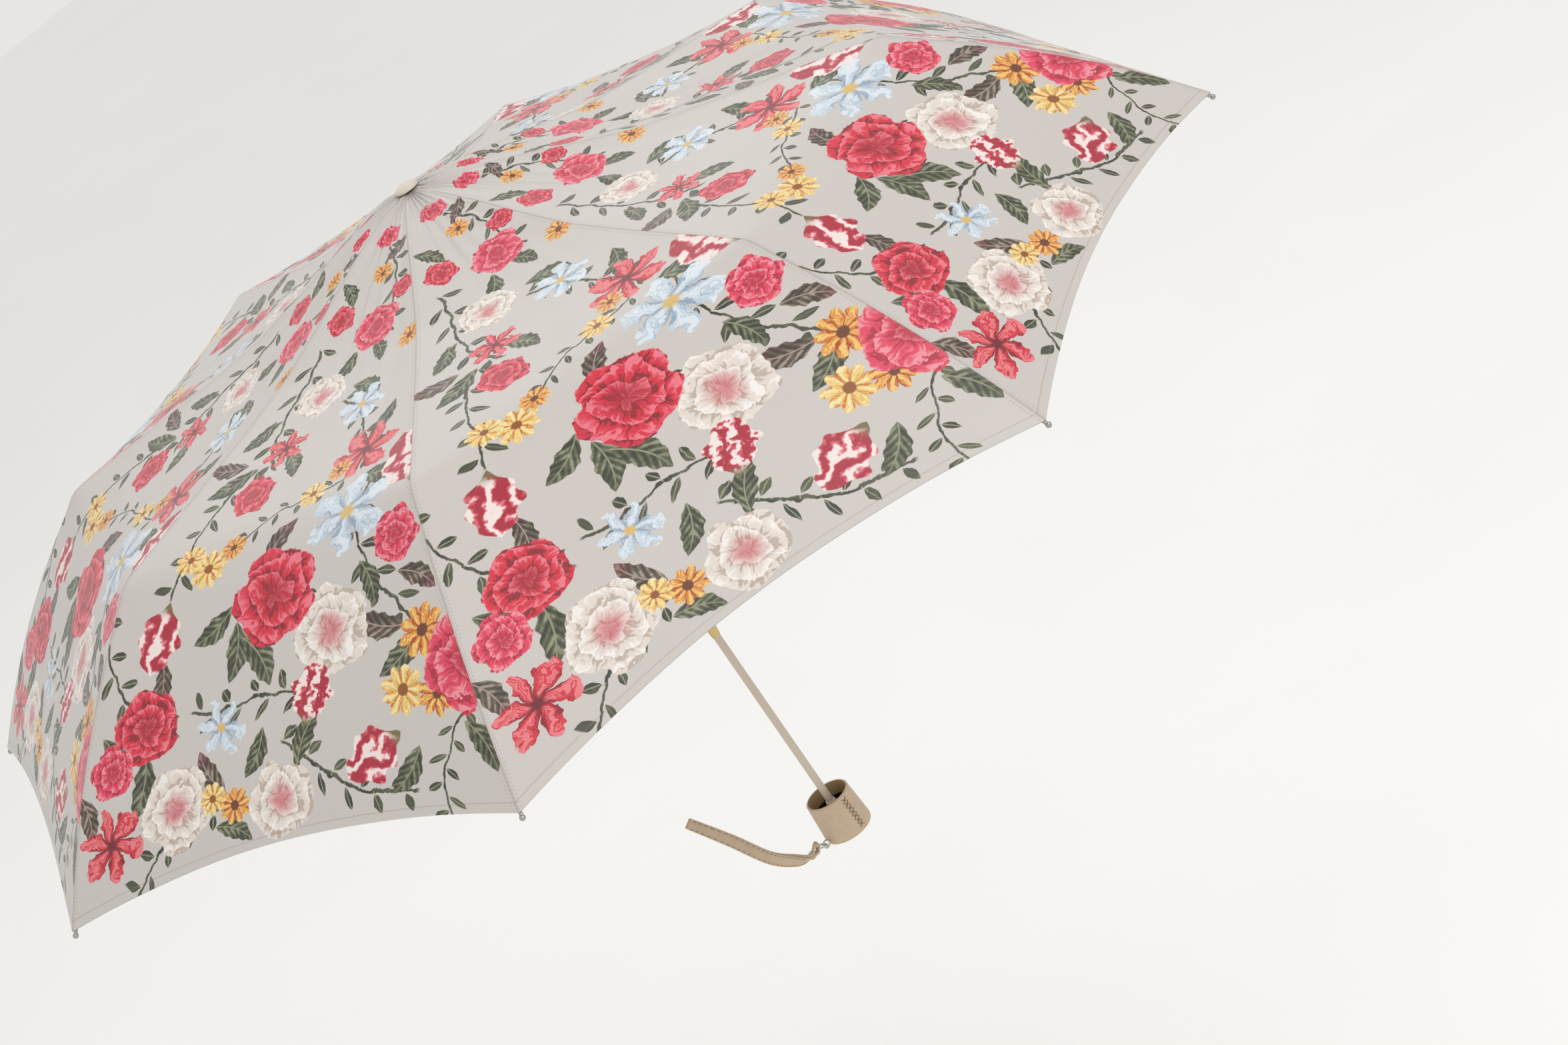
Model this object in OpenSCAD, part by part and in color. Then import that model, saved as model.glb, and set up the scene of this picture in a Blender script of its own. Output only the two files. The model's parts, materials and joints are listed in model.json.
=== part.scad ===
// Folding umbrella: eight three-section ribs on a three-stage telescopic shaft, with a cup handle
// that takes the rib tips when the umbrella is folded, and a leather wrist strap on rings.
// The origin is the centre of the handle's flat closed end, +Z runs up the shaft to the canopy.
// Every rib lies in its own vertical plane, and its links lie side by side in three thin layers.

/* [Canopy] */
// Radius at the rib tips
tip_r = 485; // [470:1:500]
// Height of the fabric's peak above the handle's closed end
peak_z = 572.5; // [565:0.5:580]
// Thickness of the fabric solid
fabric_t = 0.6; // [0.4:0.1:1]
// Depth of the hem's arch between two tips, along the fabric
hem_arch = 21; // [10:1:30]
// Inward sag of each panel's middle
panel_sag = 5; // [0:1:8]

/* [Ribs] */
// Length of the inner rib, from the crown to its end joint
main_len = 165; // [164:1:166]
// Length of the middle rib between its joints
middle_len = 155.4; // [155:0.1:156]
// Length of the outer rib from its joint to the middle of its tip ball
outer_len = 217.6; // [216:0.1:219]
// Bow of the outer rib under the fabric's pull
outer_bow = 8; // [4:1:10]
// Distance from the crown to the stretcher's joint, which is also the stretcher's length
arm_len = 92; // [91:0.5:93]
// Slope of the inner rib below level when open
main_open = 14.7; // [14:0.1:15.5]
// Slope of the middle rib below level when open
middle_open = 8.55; // [8:0.05:9]
// Slope of the outer rib's chord below level when open
outer_open = 40.8; // [40:0.1:41.5]

/* [Shaft] */
// Outer radius of the top tube
top_tube_r = 4.6; // [4.5:0.05:4.65]
// Outer radius of the middle tube
middle_tube_r = 3.85; // [3.7:0.05:3.9]
// Outer radius of the lower tube
lower_tube_r = 2.9; // [2.7:0.05:2.95]
// Wall of each tube
tube_wall = 0.5; // [0.4:0.05:0.52]

/* [Handle] */
// Height of the handle
handle_h = 32; // [30:1:34]
// Outer radius of the leather at the closed end
handle_end_r = 18.9; // [18.5:0.1:19.5]
// Outer radius of the leather at the mouth
handle_mouth_r = 17.1; // [17:0.1:17.6]
// Radius of the cup's inner wall
cup_bore_r = 15.6; // [15.4:0.1:15.7]
// Number of ridges inside the cup
cup_ridges = 24; // [8:4:32]

/* [Strap] */
// Width of the strap
strap_w = 9; // [7:0.5:10]
// Thickness of the folded strap, two layers of leather
strap_t = 4.4; // [3:0.2:5]

/* [Hidden] */
$fn = 48;
rib_count = 8;
rib_step = 360 / rib_count;
RIBS = [for (i = [1:rib_count]) i];

// Colours
beige_paint = [0.80, 0.75, 0.68];
leather = [0.80, 0.74, 0.66];
steel = [0.72, 0.72, 0.72];
fabric = [0.90, 0.84, 0.79];

// Layers across a rib: main and outer ribs, then stretchers and middle ribs, then control links
layer_a = [-0.75, 0.75];
layer_b = [0.85, 2.05];
layer_d = [2.15, 3.15];
link_half_h = 1.2;
eye_r = 1.6;
hole_r = 0.55;
rivet_r = 0.5;
rivet_head_r = 1.0;
rivet_head_t = 0.35;
rivet_gap = 0.05;

// Joints of one open rib, as [distance from the shaft, height above the peak]
function along(from, angle, length) = from + length * [cos(angle), -sin(angle)];
pivot_r = 7;
crown_pivot = [pivot_r, -6];
arm_joint = along(crown_pivot, main_open, arm_len);
main_end = along(crown_pivot, main_open, main_len);
runner_pivot = [pivot_r, crown_pivot[1] - 2 * arm_len * sin(main_open)];
middle_end = along(main_end, middle_open, middle_len);
tip_centre = [tip_r, middle_end[1] - outer_len * sin(outer_open)];
stretcher_angle = 180 - main_open;
link_start = along(arm_joint, stretcher_angle, 12);
tail_angle = 159;
tail_len = 13;
link_end = along(main_end, tail_angle, tail_len);
link_vector = link_end - link_start;
link_len = norm(link_vector);
link_angle = atan2(-link_vector[1], link_vector[0]);

// Crown and runner
crown_r = 9.3;
crown_top = -2.5;
crown_bottom = -9.6;
crown_wire_r = 0.45;
slot_inner_r = 5.25;
slot_gap = 0.2;
runner_r = 9.6;
runner_half_h = 4.3;
barrel_r = 5.2;
barrel_drop = 17.3;
runner_bore_r = top_tube_r + 0.08;

// Shaft stations, measured from the peak
top_tube_span = [-208, -0.6];
middle_tube_span = [-380, -190];
lower_tube_span = [-566.5, -358];
collar_bottom = -389;
slide_gap = 0.08;

// Handle
disc_t = 1.5;
cup_floor_top = 4.5;
boss_r = 4.8;
boss_top = 24;
cover_t = 1.25;
lip_t = 0.5;
seat_gap = 0.02;

// Rings at the handle, which hang from the side away from +X
eye_major = 2.75;
eye_wire = 0.7;
eye_centre = [-22.6, 0, 4.6];
shank_r = 0.6;
shank_len = 3.2;
ring_major = 4.6;
ring_half_w = 1.2;
ring_half_t = 0.6;
ring_tilt = 25;
ring_offset = 5.0;
ring_out = [-cos(ring_tilt), 0, sin(ring_tilt)];
strap_hinge = eye_centre + (ring_offset + ring_major) * ring_out;
loop_bore_r = 2.1;
loop_r = 3.5;
neck_w = 4.6;

module at_peak() { translate([0, 0, peak_z]) children(); }
module in_rib(i) { rotate([0, 0, -rib_step * (i - 1)]) at_peak() children(); }
module at_joint(joint, angle) {
    translate([joint[0], 0, joint[1]]) rotate([0, angle, 0]) children();
}
module across(r, span) {
    translate([0, span[1], 0]) rotate([90, 0, 0]) cylinder(r = r, h = span[1] - span[0]);
}
module bar(length, layer, half_h) {
    translate([0, layer[0], -half_h]) cube([length, layer[1] - layer[0], 2 * half_h]);
}

// A flat link with an eye at each end, along +X
module flat_link(length, layer, half_h, start_hole, end_hole) {
    difference() {
        union() {
            bar(length, layer, half_h);
            across(eye_r, layer);
            translate([length, 0, 0]) across(eye_r, layer);
        }
        if (start_hole > 0) across(start_hole, [layer[0] - 1, layer[1] + 1]);
        if (end_hole > 0) {
            translate([length, 0, 0]) across(end_hole, [layer[0] - 1, layer[1] + 1]);
        }
    }
}

// A rivet fixed in its own link: it crosses the next layer and ends in a head behind it
module rivet(own, other, towards) {
    low = min(own[0], other[0]);
    high = max(own[1], other[1]);
    foot = towards < 0 ? low - rivet_gap : high + rivet_gap;
    across(rivet_r, towards < 0 ? [foot, own[1]] : [own[0], foot]);
    across(rivet_head_r, towards < 0 ? [foot - rivet_head_t, foot] : [foot, foot + rivet_head_t]);
}

module main_rib(i) {
    color(steel) in_rib(i) at_joint(crown_pivot, main_open) difference() {
        flat_link(main_len, layer_a, link_half_h, hole_r, hole_r);
        translate([arm_len, 0, 0]) across(hole_r, [-2, 2]);
    }
}

module stretcher(i) {
    color(steel) in_rib(i) at_joint(arm_joint, stretcher_angle) {
        difference() {
            flat_link(arm_len, layer_b, link_half_h, 0, hole_r);
            translate([12, 0, 0]) across(hole_r, [0, 4]);
        }
        rivet(layer_b, layer_a, -1);
    }
}

module control_link(i) {
    color(steel) in_rib(i) at_joint(link_start, link_angle) {
        flat_link(link_len, layer_d, 0.9, 0, hole_r);
        across(rivet_r, [layer_b[0], layer_d[1]]);
        translate([link_len, 0, 0]) {
            difference() {
                across(rivet_head_r, [layer_d[1], layer_d[1] + rivet_head_t]);
                across(0.3, [layer_d[1] - 1, layer_d[1] + 1]);
            }
        }
    }
}

module middle_rib(i) {
    color(steel) in_rib(i) at_joint(main_end, middle_open) {
        difference() {
            union() {
                bar(middle_len, layer_b, link_half_h);
                across(eye_r, layer_b);
                translate([middle_len, 0, 0]) across(eye_r, layer_b);
                rotate([0, tail_angle - middle_open, 0]) bar(tail_len, layer_b, link_half_h);
                rotate([0, tail_angle - middle_open, 0]) translate([tail_len, 0, 0])
                    across(eye_r, layer_b);
            }
            rotate([0, tail_angle - middle_open, 0]) translate([tail_len, 0, 0])
                across(hole_r, [0, 4]);
        }
        rivet(layer_b, layer_a, -1);
        translate([middle_len, 0, 0]) rivet(layer_b, layer_a, -1);
    }
}

// The outer rib is a sprung rod, so it bows, and its silver tip holds the fabric's corner
module outer_rib(i) {
    rod_r = 0.75;
    bend_r = (pow(outer_len / 2, 2) + pow(outer_bow, 2)) / (2 * outer_bow);
    half_turn = asin(outer_len / 2 / bend_r);
    color(steel) in_rib(i) at_joint(middle_end, outer_open) {
        difference() {
            union() {
                across(eye_r, layer_a);
                bent_rod(rod_r, bend_r, half_turn);
            }
            across(hole_r, [-2, 2]);
        }
    }
    color("silver") in_rib(i) at_joint(middle_end, outer_open) translate([outer_len, 0, 0]) {
        sphere(r = 1.9);
        rotate([0, half_turn - 90, 0]) difference() {
            cylinder(r = 1.25, h = 8);
            translate([0, 0, 1.85]) cylinder(r = rod_r, h = 8);
        }
    }
}

// The rod stops a little short of the tip ball, inside the silver socket
module bent_rod(rod_r, bend_r, half_turn) {
    tip_turn = 0.5;
    translate([outer_len / 2, 0, outer_bow - bend_r]) rotate([90, 0, 0])
        rotate([0, 0, 90 - half_turn + tip_turn])
            rotate_extrude(angle = 2 * half_turn - tip_turn, $fn = 360)
                translate([bend_r, 0]) circle(r = rod_r, $fn = 24);
}

// The rib line of the fabric as [distance along the line, radius, height]: it rests on the crown,
// runs a little above the two inner ribs and follows the bow of the outer one.
outer_normal = [sin(outer_open), cos(outer_open)];
fabric_lift = 2.2;
inner_line = [[5, -1], [28, -3.5], [66, -14], [107, -27.5], [152, -41], [200, -49.5],
              [250, -57], [300, -64.5], [322, -67.5]];
outer_line = [for (u = [0.08, 0.2, 0.35, 0.5, 0.65, 0.8, 0.92, 0.99])
    along(middle_end, outer_open, u * outer_len)
    + outer_normal * (4 * outer_bow * u * (1 - u) + fabric_lift)];
rib_line = concat(inner_line, outer_line);
function run_to(n) = n == 0 ? 0 : run_to(n - 1) + norm(rib_line[n] - rib_line[n - 1]);
line_last = len(rib_line) - 1;
line_runs = [for (n = [0:line_last]) run_to(n)];
line_length = line_runs[line_last];
r_table = [for (n = [0:line_last]) [line_runs[n], rib_line[n][0]]];
z_table = [for (n = [0:line_last]) [line_runs[n], rib_line[n][1]]];

// A point of one panel, whose middle lies along +X: v runs from -1 to 1 between its two ribs
function panel_point(n, v, lift) =
    let (share = line_runs[n] / line_length,
         inset = (1 - v * v) * hem_arch * pow(share, 4),
         run = line_runs[n] - inset,
         r = lookup(run, r_table),
         z = lookup(run, z_table) - panel_sag * (1 - v * v) * sin(180 * share),
         half_w = r * sin(rib_step / 2) - 0.05)
    [r * cos(rib_step / 2), v * half_w, z + lift];
panel_steps = [for (j = [0:4]) j / 2 - 1];
panel_cols = len(panel_steps);
panel_rows = line_last + 1;
function layer_points(lift) =
    [for (n = [0:line_last]) for (v = panel_steps) panel_point(n, v, lift)];
function at(side, n, j) = side * panel_rows * panel_cols + n * panel_cols + j;
panel_faces = concat(
    [for (n = [0:line_last - 1]) for (j = [0:panel_cols - 2])
        for (f = [[at(1, n, j), at(1, n + 1, j), at(1, n + 1, j + 1)],
                  [at(1, n, j), at(1, n + 1, j + 1), at(1, n, j + 1)],
                  [at(0, n, j), at(0, n + 1, j + 1), at(0, n + 1, j)],
                  [at(0, n, j), at(0, n, j + 1), at(0, n + 1, j + 1)]]) f],
    [for (n = [0:line_last - 1])
        for (f = [[at(0, n, 0), at(0, n + 1, 0), at(1, n + 1, 0)],
                  [at(0, n, 0), at(1, n + 1, 0), at(1, n, 0)],
                  [at(1, n, panel_cols - 1), at(1, n + 1, panel_cols - 1), at(0, n + 1, panel_cols - 1)],
                  [at(1, n, panel_cols - 1), at(0, n + 1, panel_cols - 1), at(0, n, panel_cols - 1)]]) f],
    [for (j = [0:panel_cols - 2])
        for (f = [[at(0, 0, j), at(1, 0, j), at(1, 0, j + 1)],
                  [at(0, 0, j), at(1, 0, j + 1), at(0, 0, j + 1)],
                  [at(1, line_last, j), at(0, line_last, j), at(0, line_last, j + 1)],
                  [at(1, line_last, j), at(0, line_last, j + 1), at(1, line_last, j + 1)]]) f]
);

module canopy() {
    color(fabric) at_peak() for (i = RIBS)
        rotate([0, 0, rib_step * (i - 0.5)])
            polyhedron(points = concat(layer_points(-fabric_t / 2), layer_points(fabric_t / 2)),
                       faces = [for (f = panel_faces) [f[2], f[1], f[0]]], convexity = 4);
}

module top_cap() {
    cap_r = 8.8;
    cap_h = 4.6;
    stem_r = top_tube_r - tube_wall - 0.03;
    color(beige_paint) at_peak() rotate_extrude() polygon(concat(
        [[0, -6], [stem_r, -6], [stem_r, 0.1], [cap_r - 0.6, 0.1], [cap_r, 0.6]],
        [for (a = [10:10:90]) [cap_r * cos(a), 0.6 + (cap_h - 0.6) * sin(a)]]
    ));
}

module crown() {
    color(beige_paint) at_peak() difference() {
        translate([0, 0, crown_bottom]) cylinder(r = crown_r, h = crown_top - crown_bottom);
        translate([0, 0, crown_bottom - 1]) cylinder(r = top_tube_r + 0.02, h = 20);
        for (i = RIBS) rotate([0, 0, rib_step * i])
            translate([slot_inner_r, layer_a[0] - slot_gap, crown_bottom - 1])
                cube([10, layer_a[1] - layer_a[0] + 2 * slot_gap, crown_pivot[1] + 2 - crown_bottom + 1]);
        translate([0, 0, crown_pivot[1]]) rotate_extrude()
            translate([pivot_r, 0]) circle(r = crown_wire_r + 0.02, $fn = 24);
    }
}

module crown_wire() {
    color("silver") at_peak() translate([0, 0, crown_pivot[1]]) rotate_extrude()
        translate([pivot_r, 0]) circle(r = crown_wire_r, $fn = 24);
}

// The runner's slots go right through, because each stretcher's end slides in its own slot
module runner() {
    color(beige_paint) at_peak() translate([0, 0, runner_pivot[1]]) difference() {
        union() {
            translate([0, 0, -runner_half_h]) cylinder(r = runner_r, h = 2 * runner_half_h);
            translate([0, 0, -barrel_drop]) cylinder(r = barrel_r, h = barrel_drop);
            translate([0, 0, -barrel_drop]) cylinder(r1 = 7.6, r2 = 8.2, h = 5);
        }
        translate([0, 0, -barrel_drop - 1]) cylinder(r = runner_bore_r, h = 40);
        for (i = RIBS) rotate([0, 0, rib_step * i])
            translate([slot_inner_r, layer_b[0] - slot_gap, -barrel_drop - 1])
                cube([10, layer_b[1] - layer_b[0] + 2 * slot_gap, 40]);
    }
}

module tube(r, bore, span) {
    at_peak() translate([0, 0, span[0]]) difference() {
        cylinder(r = r, h = span[1] - span[0]);
        translate([0, 0, -1]) cylinder(r = bore, h = span[1] - span[0] + 2);
    }
}

module top_tube() { color(beige_paint) tube(top_tube_r, top_tube_r - tube_wall, top_tube_span); }
module middle_tube() {
    color(beige_paint) tube(middle_tube_r, middle_tube_r - tube_wall, middle_tube_span);
}
module upper_bush() {
    color("ivory") tube(top_tube_r - tube_wall - slide_gap, middle_tube_r, [-201, -190]);
}
module lower_tube() {
    color(beige_paint) tube(lower_tube_r, lower_tube_r - tube_wall, lower_tube_span);
}
module lower_bush() {
    color("ivory") tube(middle_tube_r - tube_wall - slide_gap, lower_tube_r, [-370, -358]);
}

// The brass end of the middle tube: a spigot inside the tube and a cone that closes on the lower one
module middle_collar() {
    bore = lower_tube_r + slide_gap;
    spigot = middle_tube_r - tube_wall;
    color("goldenrod") at_peak() rotate_extrude() polygon([
        [bore, collar_bottom], [bore + 0.35, collar_bottom], [middle_tube_r, collar_bottom + 7],
        [middle_tube_r, middle_tube_span[0]], [spigot, middle_tube_span[0]],
        [spigot, middle_tube_span[0] + 6], [bore, middle_tube_span[0] + 6]
    ]);
}

module handle_cup() {
    outer_low = handle_end_r - cover_t;
    outer_high = handle_mouth_r - cover_t;
    ridge_w = 0.9;
    color("saddlebrown") difference() {
        union() {
            difference() {
                translate([0, 0, disc_t])
                    cylinder(r1 = outer_low, r2 = outer_high, h = handle_h - lip_t - disc_t);
                translate([0, 0, cup_floor_top]) cylinder(r = cup_bore_r, h = handle_h);
            }
            translate([0, 0, disc_t]) cylinder(r = boss_r, h = boss_top - disc_t);
            for (i = [1:cup_ridges]) rotate([0, 0, (i + 0.5) * 360 / cup_ridges])
                translate([cup_bore_r - 0.35, -ridge_w / 2, cup_floor_top - 0.5])
                    cube([0.6, ridge_w, handle_h - 3 - cup_floor_top]);
        }
        translate([0, 0, 6]) cylinder(r = lower_tube_r + seat_gap, h = handle_h);
        eye_shank(shank_r + seat_gap);
    }
}

module handle_ferrule() {
    color("ivory") translate([0, 0, boss_top]) difference() {
        cylinder(r1 = 4.2, r2 = 3.6, h = 3);
        translate([0, 0, -1]) cylinder(r = lower_tube_r + seat_gap, h = 5);
    }
}

// The leather sleeve, turned over the cup's rim
module handle_cover() {
    color(leather) difference() {
        rotate_extrude() polygon([
            [handle_end_r - cover_t, disc_t], [handle_end_r - 0.2, disc_t],
            [handle_end_r, disc_t + 0.8], [handle_mouth_r, handle_h - 0.8],
            [handle_mouth_r - 0.5, handle_h - 0.15], [handle_mouth_r - 1.0, handle_h],
            [cup_bore_r + 0.1, handle_h], [cup_bore_r + 0.1, handle_h - lip_t],
            [handle_mouth_r - cover_t, handle_h - lip_t]
        ]);
        eye_shank(shank_r + seat_gap);
    }
}

module handle_end_disc() {
    color(leather) rotate_extrude() polygon([
        [0, 0], [handle_end_r - 1.1, 0], [handle_end_r - 0.5, 0.3],
        [handle_end_r - 0.35, 0.8], [handle_end_r - 0.5, disc_t], [0, disc_t]
    ]);
}

// The eye's plane is upright, so its ring swings about Y; its shank screws into the handle
module eye_ring() {
    color("silver") {
        translate(eye_centre) rotate([90, 0, 0]) rotate_extrude()
            translate([eye_major, 0]) circle(r = eye_wire, $fn = 24);
        eye_shank(shank_r);
    }
}

module eye_shank(r) {
    translate(eye_centre + [eye_major, 0, 0]) rotate([0, 90, 0]) cylinder(r = r, h = shank_len);
}

module split_ring() {
    color("silver") translate(eye_centre + ring_offset * ring_out) rotate([0, ring_tilt, 0])
        rotate_extrude() translate([ring_major - ring_half_t, -ring_half_w])
            square([2 * ring_half_t, 2 * ring_half_w]);
}

// The strap's middle line from its hinge, and the direction of its width at each point
strap_route = [[-3.2, 0, -1.4], [-8, 3, -2], [-15, 9, 1], [-25, 20, 12], [-34, 36, 35], [-45, 54, 60]];
strap_across = [[0, 1, 0], [-0.3, 0.9, -0.3], [-0.6, 0.7, -0.5], [-0.75, 0.4, -0.5],
                [-0.8, 0.25, -0.5], [-0.82, 0.2, -0.52]];
strap_width = [neck_w, 7, strap_w, strap_w, strap_w, strap_w - 1];
function unit(v) = v / norm(v);
function clamp(n) = max(0, min(len(strap_route) - 1, n));
function spline(list, n, t) =
    let (p0 = list[clamp(n - 1)], p1 = list[n], p2 = list[clamp(n + 1)], p3 = list[clamp(n + 2)])
    0.5 * (2 * p1 + (p2 - p0) * t + (2 * p0 - 5 * p1 + 4 * p2 - p3) * t * t
           + (3 * p1 - p0 - 3 * p2 + p3) * t * t * t);
strap_spans = len(strap_route) - 1;
strap_steps = 5;
strap_places = [for (n = [0:strap_spans - 1]) for (k = [0:strap_steps - 1]) [n, k / strap_steps],
                [strap_spans - 1, 1]];
function strap_at(list, place) = spline(list, place[0], place[1]);
function strap_section(place) =
    let (p = strap_at(strap_route, place),
         ahead = strap_at(strap_route, [place[0], place[1] + 0.01]) - p,
         side = unit(strap_at(strap_across, place)),
         face = unit(cross(ahead, side)),
         w = strap_at(strap_width, place) / 2 * side,
         t = strap_t / 2 * face)
    [p + w + t, p - w + t, p - w - t, p + w - t];
strap_sections = [for (place = strap_places) strap_section(place)];
strap_ends = len(strap_sections) - 1;

module wrist_strap() {
    color(leather) translate(strap_hinge) {
        difference() {
            across(loop_r, [-neck_w / 2, neck_w / 2]);
            across(loop_bore_r, [-neck_w, neck_w]);
        }
        polyhedron(
            points = [for (s = strap_sections) for (p = s) p],
            faces = concat(
                [[0, 1, 2, 3]],
                [for (n = [0:strap_ends - 1]) for (k = [0:3])
                    for (f = [[4 * n + k, 4 * n + 4 + k, 4 * n + 4 + (k + 1) % 4],
                              [4 * n + k, 4 * n + 4 + (k + 1) % 4, 4 * n + (k + 1) % 4]]) f],
                [[for (k = [3:-1:0]) 4 * strap_ends + k]]
            ));
    }
}

// A domed rivet through both layers of the strap, just below the ring
module strap_rivet() {
    seat = strap_section([0, 0.55]);
    middle = (seat[0] + seat[1] + seat[2] + seat[3]) / 4;
    face = unit(seat[0] - seat[3]);
    color("silver") translate(strap_hinge + middle + face * strap_t / 2)
        rotate([0, acos(face[2]), atan2(face[1], face[0])])
            intersection() {
                translate([0, 0, -2.2]) sphere(r = 3.3);
                cylinder(r = 3, h = 3);
            }
}

canopy();
top_cap();
crown();
crown_wire();
runner();
top_tube();
middle_tube();
middle_collar();
upper_bush();
lower_tube();
lower_bush();
handle_cup();
handle_ferrule();
handle_cover();
handle_end_disc();
eye_ring();
split_ring();
wrist_strap();
strap_rivet();
for (i = RIBS) {
    main_rib(i);
    stretcher(i);
    control_link(i);
    middle_rib(i);
    outer_rib(i);
}
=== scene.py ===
"""Looks of the folding umbrella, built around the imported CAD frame. Lengths are in metres."""

import json
import math

import bpy
import numpy as np
from mathutils import Matrix, Vector


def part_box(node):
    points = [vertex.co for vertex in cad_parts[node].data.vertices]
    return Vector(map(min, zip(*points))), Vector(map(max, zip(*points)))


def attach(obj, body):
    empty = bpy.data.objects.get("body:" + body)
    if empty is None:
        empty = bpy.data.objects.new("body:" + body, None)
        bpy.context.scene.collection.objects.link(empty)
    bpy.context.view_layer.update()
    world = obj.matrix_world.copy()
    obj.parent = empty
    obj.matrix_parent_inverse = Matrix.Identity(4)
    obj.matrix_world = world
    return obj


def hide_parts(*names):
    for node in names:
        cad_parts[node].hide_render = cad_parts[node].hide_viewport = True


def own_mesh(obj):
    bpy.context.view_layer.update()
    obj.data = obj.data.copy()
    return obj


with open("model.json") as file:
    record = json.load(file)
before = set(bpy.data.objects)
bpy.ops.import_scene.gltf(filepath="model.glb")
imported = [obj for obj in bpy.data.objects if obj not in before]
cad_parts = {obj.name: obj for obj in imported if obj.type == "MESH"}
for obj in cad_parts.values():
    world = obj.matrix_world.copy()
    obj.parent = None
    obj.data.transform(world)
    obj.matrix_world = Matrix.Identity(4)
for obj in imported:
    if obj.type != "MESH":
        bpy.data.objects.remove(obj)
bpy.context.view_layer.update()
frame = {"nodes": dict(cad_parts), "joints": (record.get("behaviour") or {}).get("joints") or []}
scene = bpy.context.scene
MM = 0.001

# ---------------------------------------------------------------- places that come from the frame
RIB_COUNT = 8
RIB_STEP = 2 * math.pi / RIB_COUNT
joints = {j["name"]: j for j in frame["joints"]}
crown_pivot = Vector(joints["main_rib_1_hinge"]["pos_m"])
main_end = Vector(joints["middle_rib_1_hinge"]["pos_m"])
middle_end = Vector(joints["outer_rib_1_hinge"]["pos_m"])
PEAK_ABOVE_CROWN_PIVOT = 6 * MM
peak_z = crown_pivot.z + PEAK_ABOVE_CROWN_PIVOT
TIP_BALL_R = 1.9 * MM
outer_rib_low, outer_rib_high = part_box("outer_rib_1")
tip_centre = Vector((outer_rib_high.x - TIP_BALL_R, 0, outer_rib_low.z + TIP_BALL_R))
handle_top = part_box("handle_cover")[1].z
handle_end_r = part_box("handle_cover")[1].x
HANDLE_TAPER = 1.8 * MM
handle_mouth_r = handle_end_r - HANDLE_TAPER
strap_hinge = Vector(joints["strap_swing"]["pos_m"])
eye_centre = Vector(joints["ring_swing"]["pos_m"])


# ---------------------------------------------------------------- camera
CAMERA_PLACE = (-1.0253, -1.9742, 1.1451)
CAMERA_FORWARD = (0.45644, 0.80352, -0.38213)
CAMERA_RIGHT = (0.61669, -0.59528, -0.51510)
CAMERA_LENS = 79.32
CAMERA_SENSOR_WIDTH = 36
CAMERA_CLIP_END = 50


def make_camera():
    """The photograph's viewing angle: above the canopy's edge and rolled, with a long lens."""
    forward = Vector(CAMERA_FORWARD).normalized()
    right = Vector(CAMERA_RIGHT)
    right = (right - right.dot(forward) * forward).normalized()
    up = right.cross(forward)
    data = bpy.data.cameras.new("view")
    data.lens = CAMERA_LENS
    data.sensor_width = CAMERA_SENSOR_WIDTH
    data.clip_end = CAMERA_CLIP_END
    camera = bpy.data.objects.new("view", data)
    turn = Matrix((right, up, -forward)).transposed().to_4x4()
    camera.matrix_world = Matrix.Translation(CAMERA_PLACE) @ turn
    scene.collection.objects.link(camera)
    scene.camera = camera


make_camera()


# ---------------------------------------------------------------- node graphs
class Graph:
    """Short calls that add nodes to a tree and link them. Inputs may be sockets or plain values."""

    def __init__(self, tree):
        self.tree = tree

    def add(self, kind, **settings):
        node = self.tree.nodes.new(kind)
        for name, value in settings.items():
            setattr(node, name, value)
        return node

    def put(self, socket, value):
        if isinstance(value, bpy.types.NodeSocket):
            self.tree.links.new(value, socket)
        elif value is not None:
            socket.default_value = value

    def math(self, operation, a, b=None, c=None):
        node = self.add("ShaderNodeMath", operation=operation)
        for socket, value in zip(node.inputs, (a, b, c)):
            self.put(socket, value)
        return node.outputs[0]

    def dot(self, a, b):
        node = self.add("ShaderNodeVectorMath", operation="DOT_PRODUCT")
        self.put(node.inputs[0], a)
        self.put(node.inputs[1], b)
        return node.outputs["Value"]

    def split(self, vector):
        node = self.add("ShaderNodeSeparateXYZ")
        self.put(node.inputs[0], vector)
        return node.outputs

    def mix(self, factor, a, b):
        """Colour a where the factor is 0, and b where it is 1."""
        node = self.add("ShaderNodeMix", data_type="RGBA", blend_type="MIX")
        self.put(node.inputs["Factor"], factor)
        self.put(node.inputs[6], a)
        self.put(node.inputs[7], b)
        return node.outputs[2]

    def noise(self, vector, scale, detail=2.0, roughness=0.5, distortion=0.0):
        node = self.add("ShaderNodeTexNoise")
        self.put(node.inputs["Vector"], vector)
        self.put(node.inputs["Scale"], scale)
        self.put(node.inputs["Detail"], detail)
        self.put(node.inputs["Roughness"], roughness)
        self.put(node.inputs["Distortion"], distortion)
        return node.outputs[0]

    def pebbles(self, vector, scale):
        """Distance from the nearest of scattered points, with soft edges between them."""
        node = self.add("ShaderNodeTexVoronoi", feature="SMOOTH_F1")
        self.put(node.inputs["Vector"], vector)
        self.put(node.inputs["Scale"], scale)
        return node.outputs["Distance"]

    def step(self, value, low, high):
        """0 below low and 1 above high, with a smooth rise between them."""
        node = self.add("ShaderNodeMapRange", interpolation_type="SMOOTHSTEP")
        self.put(node.inputs[0], value)
        self.put(node.inputs[1], low)
        self.put(node.inputs[2], high)
        return node.outputs[0]

    def bump(self, height, strength, distance, normal=None):
        node = self.add("ShaderNodeBump")
        self.put(node.inputs["Height"], height)
        self.put(node.inputs["Strength"], strength)
        self.put(node.inputs["Distance"], distance)
        self.put(node.inputs["Normal"], normal)
        return node.outputs[0]


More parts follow.
